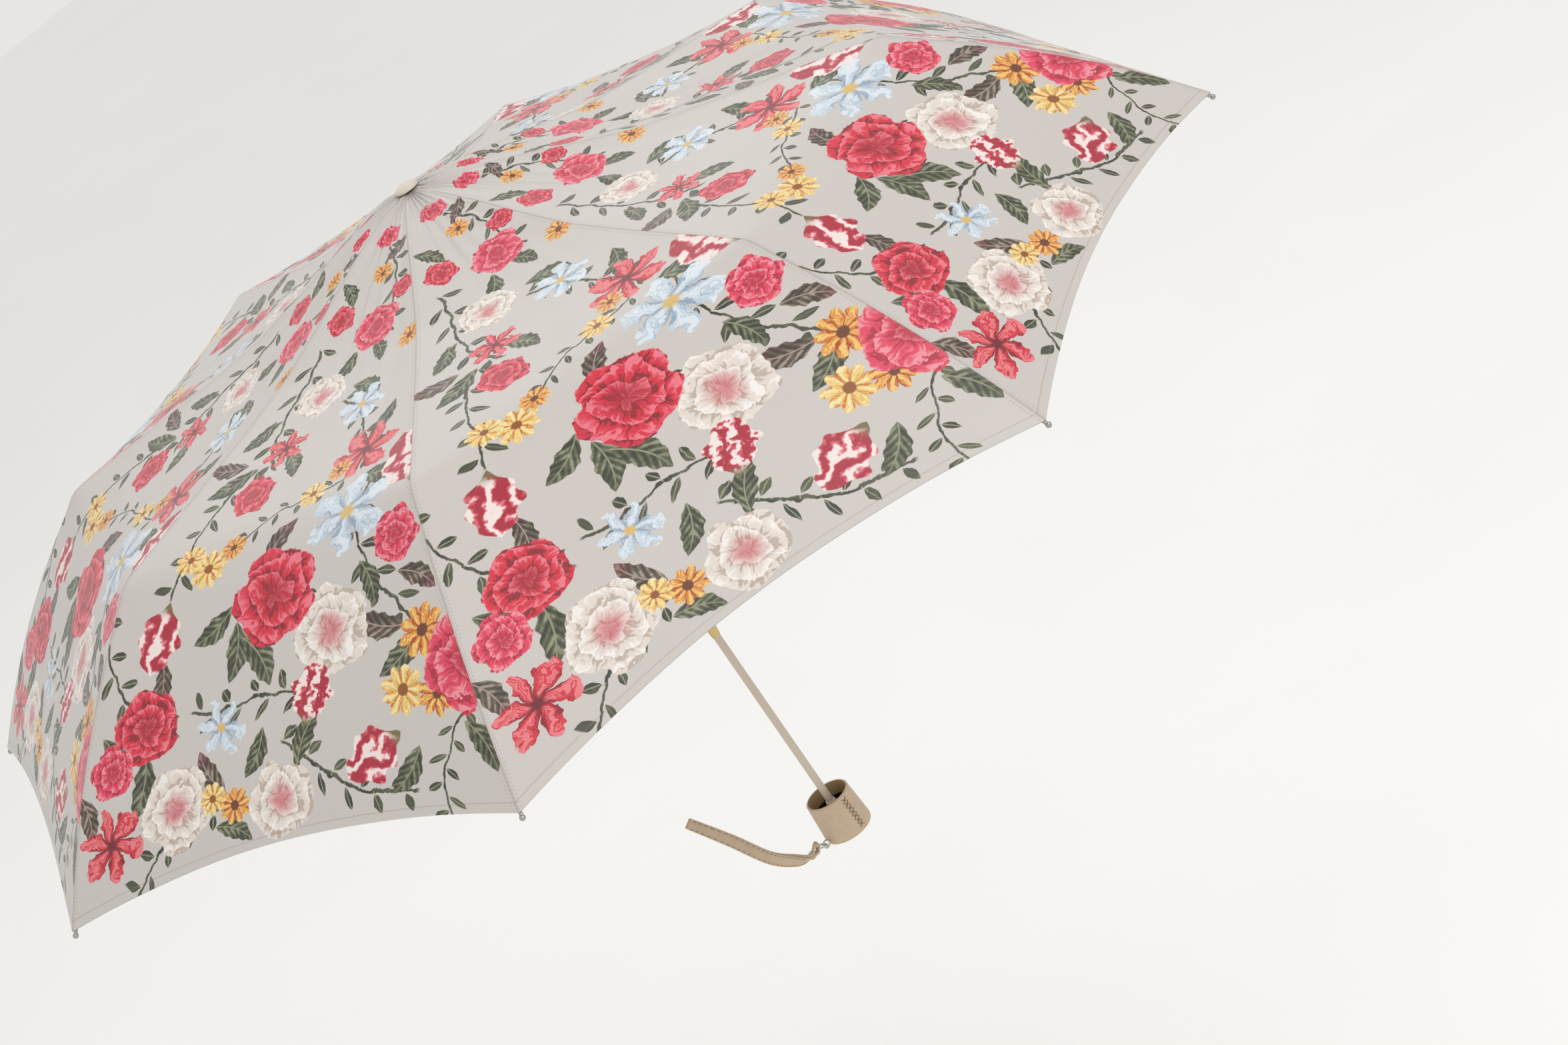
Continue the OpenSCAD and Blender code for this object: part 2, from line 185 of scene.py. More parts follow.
def colour(red, green, blue):
    """A display colour, from 0 to 255 a channel, as the linear colour that nodes use."""
    def linear(value):
        value /= 255
        return value / 12.92 if value <= 0.04045 else ((value + 0.055) / 1.055) ** 2.4
    return (linear(red), linear(green), linear(blue), 1.0)


def darker(base, share):
    return tuple(c * share for c in base[:3]) + (1.0,)


def new_material(name):
    """A material with its graph, its Principled shader and object coordinates in metres."""
    material = bpy.data.materials.new(name)
    material.use_nodes = True
    graph = Graph(material.node_tree)
    shader = next(n for n in material.node_tree.nodes if n.type == "BSDF_PRINCIPLED")
    place = graph.add("ShaderNodeTexCoord").outputs["Object"]
    return material, graph, shader, place


# ---------------------------------------------------------------- printed flowers
# Each motif is a group of plain number nodes made in the order they are worked out. Nodes that
# turn one kind of vector into another would break that order, and the whole print would be too
# large for the renderer.
STAMP_NUMBERS = ["X", "Y", "Rough", "Ax", "Bx", "Cx", "Ay", "By", "Cy", "Seed"]


def new_group(name, numbers, colours, outputs):
    tree = bpy.data.node_groups.new(name, "ShaderNodeTree")
    for label in numbers:
        tree.interface.new_socket(label, in_out="INPUT", socket_type="NodeSocketFloat")
    for label in colours:
        tree.interface.new_socket(label, in_out="INPUT", socket_type="NodeSocketColor")
    for label, kind in outputs:
        tree.interface.new_socket(label, in_out="OUTPUT", socket_type="NodeSocket" + kind)
    graph = Graph(tree)
    return tree, graph, graph.add("NodeGroupInput").outputs


def stamp_group(name, draw):
    """A node group that draws one motif: its colour and mask where it is placed and turned."""
    tree, graph, given = new_group("print_" + name, STAMP_NUMBERS, ["Ink1", "Ink2", "Ink3", "Ink4"],
                                   [("Colour", "Color"), ("Mask", "Float")])
    x = graph.math("MULTIPLY_ADD", given["X"], given["Ax"], given["Cx"])
    x = graph.math("MULTIPLY_ADD", given["Y"], given["Bx"], x)
    y = graph.math("MULTIPLY_ADD", given["X"], given["Ay"], given["Cy"])
    y = graph.math("MULTIPLY_ADD", given["Y"], given["By"], y)
    inks = [given[f"Ink{k}"] for k in range(1, 5)]
    own, mask = draw(graph, x, y, given["Rough"], given["Seed"], *inks)
    output = graph.add("NodeGroupOutput")
    graph.put(output.inputs[0], own)
    graph.put(output.inputs[1], mask)
    return tree


def polar(g, x, y):
    """Distance from the motif's middle, and the angle round it."""
    r = g.math("SQRT", g.math("MULTIPLY_ADD", x, x, g.math("MULTIPLY", y, y)))
    return r, g.math("ARCTAN2", y, x)


def streaks(g, value, count, rough, seed):
    """Fine uneven lines along a petal, from -0.5 to 0.5."""
    place = g.math("MULTIPLY_ADD", rough, 17.0, g.math("MULTIPLY_ADD", value, count, seed))
    coarse = g.math("SINE", place)
    fine = g.math("SINE", g.math("MULTIPLY", place, 2.7))
    return g.math("MULTIPLY_ADD", fine, 0.25, g.math("MULTIPLY", coarse, 0.25))


def draw_rose(g, x, y, rough, seed, deep, petal, light, heart):
    """Overlapping petals as a loose spiral of bands, each dark at its foot and pale at its lip."""
    r, angle = polar(g, x, y)
    turned = g.math("ADD", angle, seed)
    lobes = g.math("SINE", g.math("MULTIPLY", turned, 5.0))
    edge = g.math("MULTIPLY_ADD", lobes, 0.06, g.math("MULTIPLY_ADD", rough, 0.5, 0.66))
    mask = g.step(g.math("SUBTRACT", edge, r), 0.0, 0.03)
    ripple = g.math("SINE", g.math("MULTIPLY_ADD", r, 5.0, g.math("MULTIPLY", turned, 3.0)))
    turns = g.math("MULTIPLY_ADD", r, 2.9, g.math("MULTIPLY", angle, 0.5 / math.pi))
    turns = g.math("MULTIPLY_ADD", rough, 2.1, turns)
    turns = g.math("MULTIPLY_ADD", ripple, 0.17, turns)
    tone = g.math("MULTIPLY_ADD", streaks(g, angle, 9.0, rough, seed), 0.8, g.math("FRACT", turns))
    own = g.mix(g.step(tone, 0.02, 0.34), deep, petal)
    own = g.mix(g.step(tone, 0.5, 1.05), own, light)
    core = g.step(g.math("MULTIPLY_ADD", rough, 0.5, r), 0.75, 0.35)
    return g.mix(g.math("MULTIPLY", core, 0.7), own, heart), mask


def draw_lily(g, x, y, rough, seed, vein, petal, light, heart):
    """Six pointed petals with a ribbed middle."""
    r, angle = polar(g, x, y)
    wobble = g.math("MULTIPLY_ADD", rough, 1.3, angle)
    along = g.math("ABSOLUTE", g.math("COSINE", g.math("MULTIPLY", wobble, 3.0)))
    reach = g.math("MULTIPLY_ADD", g.math("POWER", along, 0.8), 0.72, 0.26)
    mask = g.step(g.math("SUBTRACT", reach, r), 0.0, 0.04)
    shade = g.math("MULTIPLY", g.math("SUBTRACT", 1.0, along), 1.4)
    shade = g.math("MULTIPLY_ADD", streaks(g, wobble, 11.0, rough, seed), 0.9, shade)
    own = g.mix(g.step(shade, -0.05, 0.35), light, petal)
    own = g.mix(g.step(shade, 0.35, 0.95), own, vein)
    return g.mix(g.step(r, 0.24, 0.08), own, heart), mask


def draw_daisy(g, x, y, rough, seed, deep, petal, light, heart):
    """A ring of short round petals around a dark button."""
    r, angle = polar(g, x, y)
    wave = g.math("ABSOLUTE", g.math("COSINE", g.math("MULTIPLY_ADD", angle, 4.5, rough)))
    reach = g.math("MULTIPLY_ADD", g.math("POWER", wave, 0.6), 0.36, g.math("MULTIPLY_ADD", rough, 0.3, 0.42))
    mask = g.step(g.math("SUBTRACT", reach, r), 0.0, 0.05)
    tone = g.math("MULTIPLY_ADD", wave, 0.9, streaks(g, angle, 12.0, rough, seed))
    own = g.mix(g.step(tone, 0.1, 0.45), deep, petal)
    own = g.mix(g.step(tone, 0.55, 1.0), own, light)
    return g.mix(g.step(g.math("MULTIPLY_ADD", rough, 0.2, r), 0.36, 0.28), own, heart), mask


def draw_tulip(g, x, y, rough, seed, deep, petal, light, heart):
    """A ragged cup of feathered stripes."""
    bulge = g.math("MULTIPLY_ADD", g.math("MULTIPLY", y, y), -1.0, 1.0)
    frill = g.math("MULTIPLY", g.math("SINE", g.math("MULTIPLY_ADD", y, 11.0, seed)), 0.07)
    reach = g.math("MULTIPLY_ADD", bulge, g.math("MULTIPLY_ADD", rough, 0.6, 0.40), frill)
    mask = g.step(g.math("SUBTRACT", reach, g.math("ABSOLUTE", x)), 0.0, 0.05)
    stripe = g.math("SINE", g.math("MULTIPLY_ADD", rough, 17.0, g.math("MULTIPLY", x, 11.0)))
    own = g.mix(g.step(stripe, -0.7, 0.2), deep, petal)
    own = g.mix(g.step(stripe, 0.1, 0.7), own, light)
    return g.mix(g.step(y, -0.55, -0.95), own, heart), mask


def draw_leaf(g, x, y, rough, seed, dark, mid, light, tip):
    """A pointed leaf along X with a pale midrib and faint side veins."""
    bend = g.math("MULTIPLY_ADD", g.math("MULTIPLY", x, x), 0.2, -0.08)
    beside = g.math("ABSOLUTE", g.math("SUBTRACT", y, bend))
    bulge = g.math("MULTIPLY_ADD", g.math("MULTIPLY", x, x), -1.0, 1.0)
    teeth = g.math("MULTIPLY_ADD", g.math("SINE", g.math("MULTIPLY_ADD", x, 15.0, seed)), 0.03, 0.28)
    reach = g.math("MULTIPLY", bulge, g.math("MULTIPLY_ADD", rough, 0.3, teeth))
    mask = g.step(g.math("SUBTRACT", reach, beside), 0.0, 0.035)
    veins = g.math("SINE", g.math("MULTIPLY", g.math("MULTIPLY_ADD", beside, -1.3, x), 19.0))
    tone = g.math("MULTIPLY_ADD", veins, 0.13, rough)
    own = g.mix(g.step(tone, 0.35, 0.55), dark, mid)
    own = g.mix(g.step(tone, 0.55, 0.72), own, light)
    own = g.mix(g.step(beside, 0.035, 0.012), own, light)
    return g.mix(g.math("MULTIPLY", g.step(x, 0.2, 0.9), 0.5), own, tip), mask


def draw_sprig(g, x, y, rough, seed, dark, mid, light, tip):
    """A curved stem along X with pairs of small leaves."""
    bend = g.math("SINE", g.math("MULTIPLY_ADD", x, 2.0, seed))
    off = g.math("MULTIPLY_ADD", rough, 0.2, g.math("MULTIPLY_ADD", bend, -0.2, y))
    side = g.math("ABSOLUTE", g.math("SUBTRACT", off, 0.1))
    stem = g.step(side, 0.024, 0.014)
    sway = g.math("MULTIPLY_ADD", g.math("SIGN", g.math("SUBTRACT", off, 0.1)), 0.25, seed)
    cell = g.math("SUBTRACT", g.math("FRACT", g.math("MULTIPLY_ADD", x, 2.6, sway)), 0.5)
    leaf_x = g.math("MULTIPLY_ADD", cell, 0.24, g.math("MULTIPLY_ADD", side, 0.9, -0.14))
    leaf_y = g.math("MULTIPLY_ADD", cell, 0.38, g.math("MULTIPLY_ADD", side, -0.62, 0.08))
    along = g.math("DIVIDE", leaf_x, 0.15)
    bulge = g.math("MULTIPLY_ADD", g.math("MULTIPLY", along, along), -0.062, 0.062)
    leaf_y = g.math("ABSOLUTE", leaf_y)
    blade = g.step(g.math("SUBTRACT", bulge, leaf_y), 0.0, 0.008)
    mask = g.math("MULTIPLY", g.math("MAXIMUM", stem, blade), g.step(g.math("ABSOLUTE", x), 0.98, 0.92))
    own = g.mix(g.step(rough, 0.4, 0.6), dark, mid)
    own = g.mix(g.step(leaf_y, 0.012, 0.004), own, light)
    return g.mix(g.step(x, 0.3, 1.0), own, tip), mask


INKS = {
    "rose": [colour(140, 6, 30), colour(222, 26, 60), colour(244, 122, 138), colour(168, 8, 40)],
    "pink_rose": [colour(178, 22, 56), colour(232, 58, 92), colour(246, 152, 164), colour(184, 18, 50)],
    "cream_rose": [colour(196, 180, 166), colour(234, 224, 213), colour(252, 247, 241), colour(206, 48, 84)],
    "blue_lily": [colour(150, 172, 192), colour(200, 216, 228), colour(230, 238, 244), colour(226, 190, 110)],
    "red_lily": [colour(146, 10, 32), colour(220, 44, 64), colour(240, 128, 134), colour(116, 12, 26)],
    "daisy": [colour(176, 70, 20), colour(226, 140, 44), colour(248, 208, 120), colour(110, 52, 20)],
    "gold_daisy": [colour(206, 120, 40), colour(240, 196, 96), colour(252, 236, 180), colour(150, 84, 24)],
    "tulip": [colour(176, 22, 52), colour(228, 100, 116), colour(250, 236, 230), colour(120, 110, 70)],
    "leaf": [colour(44, 50, 34), colour(88, 94, 68), colour(150, 152, 124), colour(70, 76, 54)],
    "wine_leaf": [colour(62, 44, 40), colour(96, 88, 68), colour(170, 150, 140), colour(130, 40, 56)],
}
DRAWINGS = {
    "sprig": draw_sprig,
    "rose": draw_rose, "pink_rose": draw_rose, "cream_rose": draw_rose, "blue_lily": draw_lily,
    "red_lily": draw_lily, "daisy": draw_daisy, "gold_daisy": draw_daisy, "tulip": draw_tulip,
    "leaf": draw_leaf, "wine_leaf": draw_leaf,
}
# One panel's motifs, in mm from its peak: across, down, half size, turn in degrees, narrowing.
# They are drawn in this order, so flowers lie over the stems and leaves.
SPRIGS = [
    (20, 96, 46, 60, 1), (-34, 190, 60, 80, 1), (40, 232, 52, 40, 1), (-66, 292, 58, 120, 1),
    (96, 356, 64, 70, 1), (-8, 440, 60, 200, 1), (-112, 398, 60, 60, 1), (62, 500, 62, 20, 1),
    (-80, 520, 56, 150, 1), (146, 520, 48, 100, 1), (10, 300, 44, 150, 1),
]
LEAVES = [
    ("leaf", -26, 398, 22, 100), ("leaf", -6, 408, 24, 60), ("leaf", -44, 376, 20, 150),
    ("wine_leaf", 8, 326, 20, -60), ("leaf", 84, 296, 20, 20), ("leaf", -64, 250, 20, 150),
    ("wine_leaf", -74, 232, 18, 190), ("leaf", 28, 188, 18, 30), ("leaf", -4, 160, 16, 120),
    ("leaf", 112, 432, 22, 140), ("wine_leaf", 96, 408, 22, 200), ("leaf", -112, 470, 24, 110),
    ("leaf", -132, 446, 22, 70), ("wine_leaf", -52, 478, 20, 240), ("leaf", 30, 472, 20, 300),
    ("leaf", 168, 498, 20, 60), ("leaf", -20, 88, 14, 60), ("wine_leaf", 14, 60, 12, 130),
    ("leaf", 38, 380, 20, 20), ("leaf", 88, 378, 18, 70), ("wine_leaf", -90, 404, 18, 100),
    ("leaf", 62, 234, 17, 110), ("leaf", -14, 246, 17, 60), ("leaf", -58, 206, 16, 130),
    ("leaf", 24, 152, 14, 60), ("wine_leaf", 128, 384, 18, 30), ("leaf", -36, 524, 18, 30),
    ("leaf", 110, 510, 20, 130), ("wine_leaf", -160, 476, 18, 80), ("leaf", -12, 474, 19, 120),
]
FLOWERS = [
    ("cream_rose", 56, 404, 34, 30, 1), ("rose", 8, 366, 38, 0, 1), ("blue_lily", 66, 322, 38, 10, 0.9),
    ("red_lily", 58, 262, 31, 25, 0.85), ("tulip", 108, 290, 33, 150, 1), ("rose", -38, 268, 22, 70, 0.8),
    ("gold_daisy", -52, 330, 17, 0, 1), ("gold_daisy", -70, 318, 14, 40, 1), ("daisy", -34, 318, 12, 80, 1),
    ("daisy", 130, 420, 20, 10, 1), ("gold_daisy", 112, 456, 19, 50, 1), ("daisy", 138, 462, 17, 90, 1),
    ("pink_rose", 160, 444, 34, 120, 1), ("rose", -104, 430, 30, 200, 0.9),
    ("cream_rose", -84, 494, 33, 80, 1), ("red_lily", -142, 500, 31, 0, 0.9),
    ("cream_rose", 6, 512, 30, 160, 1), ("pink_rose", 14, 128, 21, 40, 1),
    ("cream_rose", -16, 180, 22, 250, 1), ("tulip", -92, 372, 26, 20, 1), ("blue_lily", 30, 206, 22, 30, 0.9),
    ("rose", -22, 110, 14, 90, 0.9), ("daisy", 6, 78, 10, 30, 1), ("pink_rose", 2, 44, 11, 0, 1),
    ("tulip", 84, 496, 26, 60, 1), ("blue_lily", -40, 448, 24, 50, 0.85), ("daisy", 52, 152, 12, 0, 1),
    ("pink_rose", 110, 352, 20, 60, 1), ("red_lily", -28, 226, 20, 10, 0.9), ("tulip", 38, 442, 24, 200, 1),
    ("pink_rose", -136, 452, 20, 20, 1), ("daisy", -34, 506, 15, 0, 1), ("gold_daisy", -52, 496, 13, 20, 1),
    ("gold_daisy", 24, 290, 13, 30, 1), ("rose", 30, 100, 11, 200, 0.9), ("daisy", 40, 274, 11, 60, 1),
]
CREAM = colour(211, 205, 199)
# A motif's ragged edge may reach this much past its half size
MOTIF_REACH = 1.1
# Half sizes in mm above which a motif's edges are roughened by the coarse and the middle noise
COARSE_ABOVE = 24
MIDDLE_ABOVE = 14
NOISE_SCALES = {"Coarse": 55.0, "Middle": 110.0, "Fine": 210.0}


def touches(across, down, size, area):
    """Whether a motif reaches into an area of the flat panel, given as (left, right, top, bottom)."""
    left, right, top, bottom = area
    off_x = max(left - across, 0, across - right)
    off_y = max(top - down, 0, down - bottom)
    return math.hypot(off_x, off_y) < size * MOTIF_REACH


def print_group(name, area):
    """The print over the cream ground, in the panel's own flat coordinates, for one area of it."""
    tree, graph, given = new_group("print_" + name, ["X", "Y", *NOISE_SCALES], [], [("Colour", "Color")])
    own = CREAM
    placed = [("sprig",) + row for row in SPRIGS] + [row + (1,) for row in LEAVES] + FLOWERS
    for kind, across, down, size, turn, narrow in placed:
        if not touches(across, down, size, area):
            continue
        node = graph.add("ShaderNodeGroup", node_tree=STAMPS[kind])
        c, s = math.cos(math.radians(turn)), math.sin(math.radians(turn))
        long, short = 1 / (size * MM), 1 / (size * narrow * MM)
        ax, bx, ay, by = c * long, s * long, -s * short, c * short
        u, v = across * MM, down * MM
        rough = given["Coarse" if size > COARSE_ABOVE else "Middle" if size > MIDDLE_ABOVE else "Fine"]
        seed = (across * 3 + down * 7) % 11
        values = [given["X"], given["Y"], rough, ax, bx, -ax * u - bx * v, ay, by, -ay * u - by * v, seed]
        for label, value in zip(STAMP_NUMBERS, values):
            graph.put(node.inputs[label], value)
        for k, ink in enumerate(INKS["leaf" if kind == "sprig" else kind]):
            graph.put(node.inputs[f"Ink{k + 1}"], ink)
        own = graph.mix(node.outputs["Mask"], own, node.outputs["Colour"])
    graph.put(graph.add("NodeGroupOutput").inputs[0], own)
    return tree


STAMPS = {kind: stamp_group(kind, draw) for kind, draw in DRAWINGS.items()}
# What each canopy part covers of the flat panel, in mm: from its middle, to its side, top, bottom
AREAS = {"inner": (0, 72, 0, 170), "middle": (0, 132, 160, 326), "outer": (0, 192, 312, 545)}
PRINTS = {}
for label, (near, far, top, bottom) in AREAS.items():
    PRINTS[label, 1] = print_group(label + "_left", (-far, near, top, bottom))
    PRINTS[label, -1] = print_group(label + "_right", (near, far, top, bottom))


def print_colour(graph, own_print, flat, flat_x, flat_y):
    """The print at the flat place, with the three noises that roughen the motifs' edges."""
    fields = [graph.noise(flat, scale, 3.0, 0.55) for scale in NOISE_SCALES.values()]
    node = graph.add("ShaderNodeGroup", node_tree=own_print)
    for socket, value in zip(node.inputs, [flat_x, flat_y] + fields):
        graph.put(socket, value)
    return node.outputs[0]


DYE_DEPTH = 0.2
DARK_DYE = colour(20, 16, 20)
REVERSE_PALENESS = 0.62
REVERSE_COLOUR = colour(206, 198, 188)
# Where the painted shade in the groove beside a rib seam ends, and where it is full, from the rib
SEAM_SHADE_FADE = (0.0016, 0.0006)
SEAM_STITCH_IN = 0.0026
HEM_STITCH_IN = 0.0065
STITCHES_PER_METRE = 400.0
WEAVE_PITCH = 0.0005


def fabric_material(name, own_print, reverse):
    """Printed satin: the print, a fine weave, stitched seams with painted shade along them and a hem; the
    reverse is paler.
    """
    material, graph, shader, _ = new_material(name)
    flat = graph.add("ShaderNodeUVMap", uv_map="flat").outputs[0]
    marks = graph.add("ShaderNodeAttribute", attribute_name="marks").outputs["Vector"]
    beside_rib, from_hem, run = graph.split(marks)
    flat_x, flat_y, _ = graph.split(flat)
    own = print_colour(graph, own_print, flat, flat_x, flat_y)
    if reverse:
        own = graph.mix(REVERSE_PALENESS, own, REVERSE_COLOUR)
    # Painted shade in the groove along each rib seam, darkest at the rib
    seam = graph.step(beside_rib, *SEAM_SHADE_FADE)
    off_hem_line = graph.math("ABSOLUTE", graph.math("SUBTRACT", from_hem, HEM_STITCH_IN))
    hem_line = graph.step(off_hem_line, 0.0007, 0.0002)
    off_stitch_line = graph.math("ABSOLUTE", graph.math("SUBTRACT", beside_rib, SEAM_STITCH_IN))
    stitch = graph.step(off_stitch_line, 0.0006, 0.0002)
    dash = graph.step(graph.math("FRACT", graph.math("MULTIPLY", run, STITCHES_PER_METRE)), 0.55, 0.65)
    stitched = graph.math("MULTIPLY", stitch, dash)
    # The stitches are thread colour and the seam part is painted shade; both are drawn in one darker brown
    sewn = graph.math("MULTIPLY", graph.math("MAXIMUM", seam, stitched), 0.22)
    own = graph.mix(sewn, own, colour(120, 104, 92))
    own = graph.mix(graph.math("MULTIPLY", hem_line, 0.3), own, colour(150, 134, 120))
    cloud = graph.noise(flat, 9.0, 3.0)
    own = graph.mix(graph.math("MULTIPLY", cloud, 0.08), own, colour(190, 178, 166))
    own = graph.mix(DYE_DEPTH, own, DARK_DYE)
    graph.put(shader.inputs["Base Color"], own)
    least_rough = 0.60 if reverse else 0.30
    graph.put(shader.inputs["Roughness"], graph.math("MULTIPLY_ADD", cloud, 0.16, least_rough))
    shader.inputs["Specular IOR Level"].default_value = 0.4
    shader.inputs["Sheen Weight"].default_value = 0.06
    shader.inputs["Sheen Roughness"].default_value = 0.4
    warp = graph.math("SINE", graph.math("MULTIPLY", flat_x, 2 * math.pi / WEAVE_PITCH))
    weft = graph.math("SINE", graph.math("MULTIPLY", flat_y, 2 * math.pi / WEAVE_PITCH))
    weave = graph.math("MULTIPLY", warp, weft)
    normal = graph.bump(weave, 0.12, 0.00005)
    relief = graph.math("ADD", graph.math("MULTIPLY", seam, -1.0), stitched)
    normal = graph.bump(relief, 0.5, 0.0003, normal)
    normal = graph.bump(graph.noise(flat, 26.0, 2.0), 0.25, 0.0016, normal)
    graph.put(shader.inputs["Normal"], normal)
    return material


# ---------------------------------------------------------------- plain materials
# Below this height the cup is drawn near black: partly its black plastic, partly painted shade deep inside
# the cup
CUP_BLACK_AND_SHADE_TOP = 20 * MM
CUP_BLACK_AND_SHADE_FADE = 2 * MM
SCUFF_SHARE = 0.18
# Darker colour for the grooves of a twisted thread: painted shade
THREAD_GROOVE_SHADE = colour(96, 78, 52)


def metal_material(name, base, roughness):
    """Drawn or plated metal with cloudy wear and a fine grain."""
    material, graph, shader, place = new_material(name)
    wear = graph.noise(place, 240.0, 3.0)
    graph.put(shader.inputs["Base Color"], graph.mix(wear, base, darker(base, 0.82)))
    shader.inputs["Metallic"].default_value = 1.0
    graph.put(shader.inputs["Roughness"], graph.math("MULTIPLY_ADD", wear, 0.2, roughness))
    graph.put(shader.inputs["Normal"], graph.bump(graph.noise(place, 3000.0, 2.0), 0.08, 0.00005))
    return material


def scuffed(graph, shader, place, own, shade, roughness):
    """Gives the shader a colour with small scuffs and a faint orange peel."""
    scuff = graph.step(graph.noise(place, 130.0, 5.0, 0.7), 0.62, 0.75)
    graph.put(shader.inputs["Base Color"], graph.mix(graph.math("MULTIPLY", scuff, SCUFF_SHARE), own, shade))
    graph.put(shader.inputs["Roughness"], graph.math("MULTIPLY_ADD", scuff, 0.2, roughness))
    graph.put(shader.inputs["Normal"], graph.bump(graph.noise(place, 900.0, 2.0), 0.1, 0.0001))


def paint_material(name, base, roughness):
    """Enamel or moulded plastic."""
    material, graph, shader, place = new_material(name)
    scuffed(graph, shader, place, base, darker(base, 0.6), roughness)
    return material


def cup_material(name, wall, bottom):
    """Moulded plastic: a brown wall down from the mouth, and black below it, which is partly black plastic
    and partly painted shade deep inside the cup.
    """
    material, graph, shader, place = new_material(name)
    height = graph.split(place)[2]
    # Near black below this height: partly the black plastic, partly painted shade deep in the cup
    own = graph.mix(graph.step(height, CUP_BLACK_AND_SHADE_TOP, CUP_BLACK_AND_SHADE_TOP + CUP_BLACK_AND_SHADE_FADE), bottom, wall)
    scuffed(graph, shader, place, own, colour(70, 54, 40), 0.45)
    return material


def leather_material(name, base):
    """Smooth calf leather: fine pebble grain, a few creases and uneven dye."""
    material, graph, shader, place = new_material(name)
    grain = graph.pebbles(place, 1500.0)
    dye = graph.noise(place, 60.0, 3.0)
    crease = graph.step(graph.noise(place, 160.0, 4.0, 0.65, 1.2), 0.52, 0.60)
    own = graph.mix(graph.math("MULTIPLY", dye, 0.55), base, darker(base, 0.72))
    own = graph.mix(graph.math("MULTIPLY", crease, 0.10), own, colour(150, 126, 100))
    graph.put(shader.inputs["Base Color"], own)
    graph.put(shader.inputs["Roughness"], graph.math("MULTIPLY_ADD", dye, 0.2, 0.42))
    shader.inputs["Specular IOR Level"].default_value = 0.45
    normal = graph.bump(grain, 0.35, 0.0002)
    normal = graph.bump(crease, 0.25, 0.0002, normal)
    graph.put(shader.inputs["Normal"], normal)
    return material


def thread_material(name, base):
    """Twisted thread."""
    material, graph, shader, place = new_material(name)
    along = graph.dot(place, (1.0, 1.0, 1.0))
    twist = graph.math("SINE", graph.math("MULTIPLY", along, 14000.0))
    # Painted shade: the thread is drawn darker in the grooves of its twist
    shade = graph.math("MULTIPLY_ADD", twist, 0.3, 0.3)
    graph.put(shader.inputs["Base Color"], graph.mix(shade, base, THREAD_GROOVE_SHADE))
    shader.inputs["Roughness"].default_value = 0.75
    graph.put(shader.inputs["Normal"], graph.bump(twist, 0.5, 0.0001))
    return material


FABRICS = {}
for (label, side), own_print in PRINTS.items():
    name = f"printed_satin_{label}_{'left' if side > 0 else 'right'}"
    FABRICS[label, side] = [fabric_material(name, own_print, reverse=False),
                            fabric_material(name + "_reverse", own_print, reverse=True)]
steel = metal_material("rib_steel", colour(178, 176, 172), 0.34)
bright = metal_material("bright_steel", colour(214, 212, 206), 0.16)
gold = metal_material("gold_metal", colour(214, 190, 132), 0.28)
beige_paint = paint_material("beige_paint", colour(206, 194, 176), 0.30)
beige_plastic = paint_material("beige_plastic", colour(200, 190, 176), 0.40)
pale_plastic = paint_material("pale_plastic", colour(226, 218, 202), 0.45)
# The near-black colour below is partly the cup's black plastic and partly painted shade deep inside it
brown_plastic = cup_material("brown_plastic", colour(176, 150, 114), colour(26, 24, 22))
leather = leather_material("leather", colour(206, 183, 156))
thread = thread_material("khaki_thread", colour(158, 138, 98))

NODE_MATERIALS = {
    "top_cap": beige_plastic, "crown": beige_plastic, "crown_wire": steel, "runner": beige_plastic,
    "top_tube": beige_paint, "middle_tube": beige_paint, "middle_collar": gold,
    "upper_bush": pale_plastic, "lower_tube": beige_paint, "lower_bush": pale_plastic,
    "handle_cup": brown_plastic, "handle_ferrule": pale_plastic, "handle_cover": leather,
    "handle_end_disc": leather, "eye_ring": bright, "strap_rivet": bright,
}
for number in range(1, RIB_COUNT + 1):
    for kind in ("main_rib", "stretcher", "control_link", "middle_rib", "outer_rib"):
        NODE_MATERIALS[f"{kind}_{number}"] = steel
for name, material in NODE_MATERIALS.items():
    node = frame["nodes"][name]
    node.data.materials.clear()
    node.data.materials.append(material)


# ---------------------------------------------------------------- meshes
def new_piece(name, points, faces, materials, smooth=True):
    mesh = bpy.data.meshes.new(name)
    mesh.from_pydata([tuple(p) for p in points], [], faces)
    for material in materials:
        mesh.materials.append(material)
    if smooth:
        mesh.shade_smooth()
    piece = bpy.data.objects.new(name, mesh)
    scene.collection.objects.link(piece)
    return piece


def sweep(path, frames, section, closed=False):
    """Points and faces of a tube: section's (across, face) points carried along path by frames."""
    points, size = [], 0
    for index, (p, (s, f)) in enumerate(zip(path, frames)):
        ring = section(index)
        size = len(ring)
        points += [p + s * a + f * b for a, b in ring]
    count = len(path)
    faces = []
    for i in range(count if closed else count - 1):
        for k in range(size):
            a, b = i * size, (i + 1) % count * size
            faces.append((a + k, a + (k + 1) % size, b + (k + 1) % size, b + k))
    if not closed:
        faces.append(tuple(range(size))[::-1])
        faces.append(tuple((count - 1) * size + k for k in range(size)))
    return points, faces


